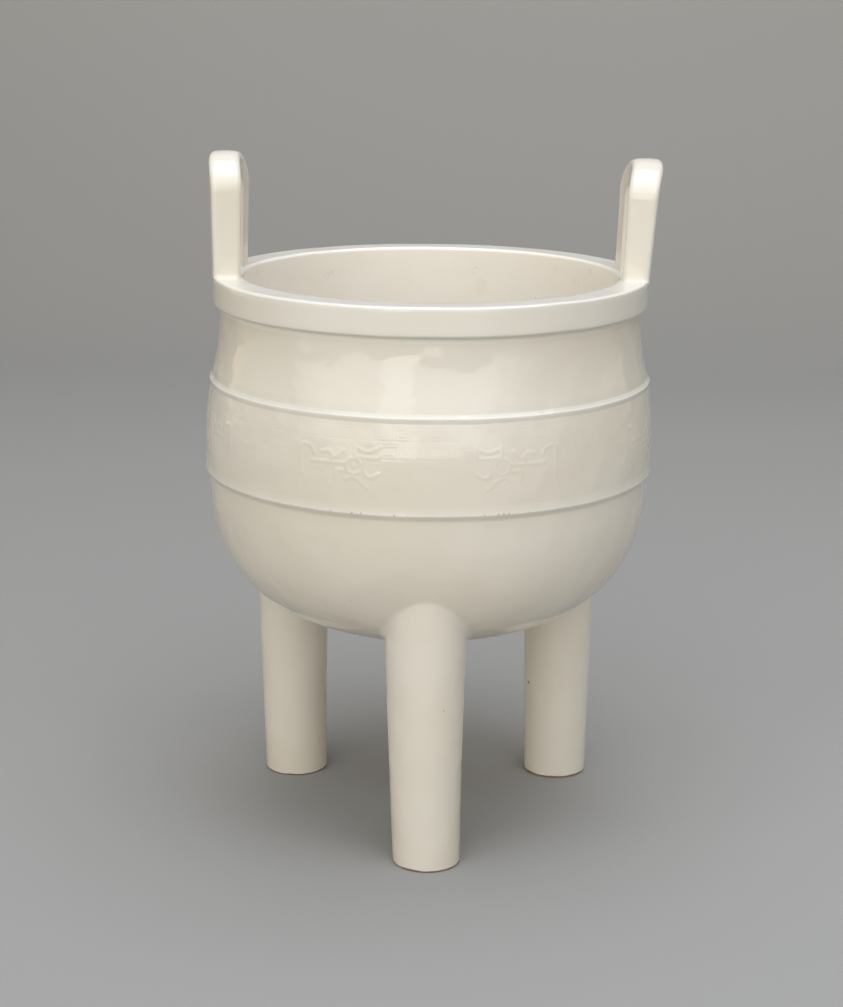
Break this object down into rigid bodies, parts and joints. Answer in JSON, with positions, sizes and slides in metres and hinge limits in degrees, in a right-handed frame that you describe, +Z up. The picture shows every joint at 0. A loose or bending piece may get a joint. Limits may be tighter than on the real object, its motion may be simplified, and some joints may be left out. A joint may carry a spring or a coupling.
{
  "type": "porcelain tripod vessel in ding form",
  "caption": "Glazed porcelain tripod bowl in the form of a ding, with a thick flat rim, upright loop handles, round legs and a band of low relief masks.",
  "frame": {"origin": "on the floor under the middle of the bowl, in the plane of the feet", "axes": "+Z up along the bowl's axis, -Y towards the front leg, handles on +X and -X"},
  "size_m": [0.1742, 0.1742, 0.259],
  "materials": {
    "glazed_porcelain": "glossy ivory glaze with pale green where it pools, bare brown edges at the feet"
  },
  "bodies": {
    "root": {"ding_vessel": "glazed_porcelain"}
  },
  "joints": []
}
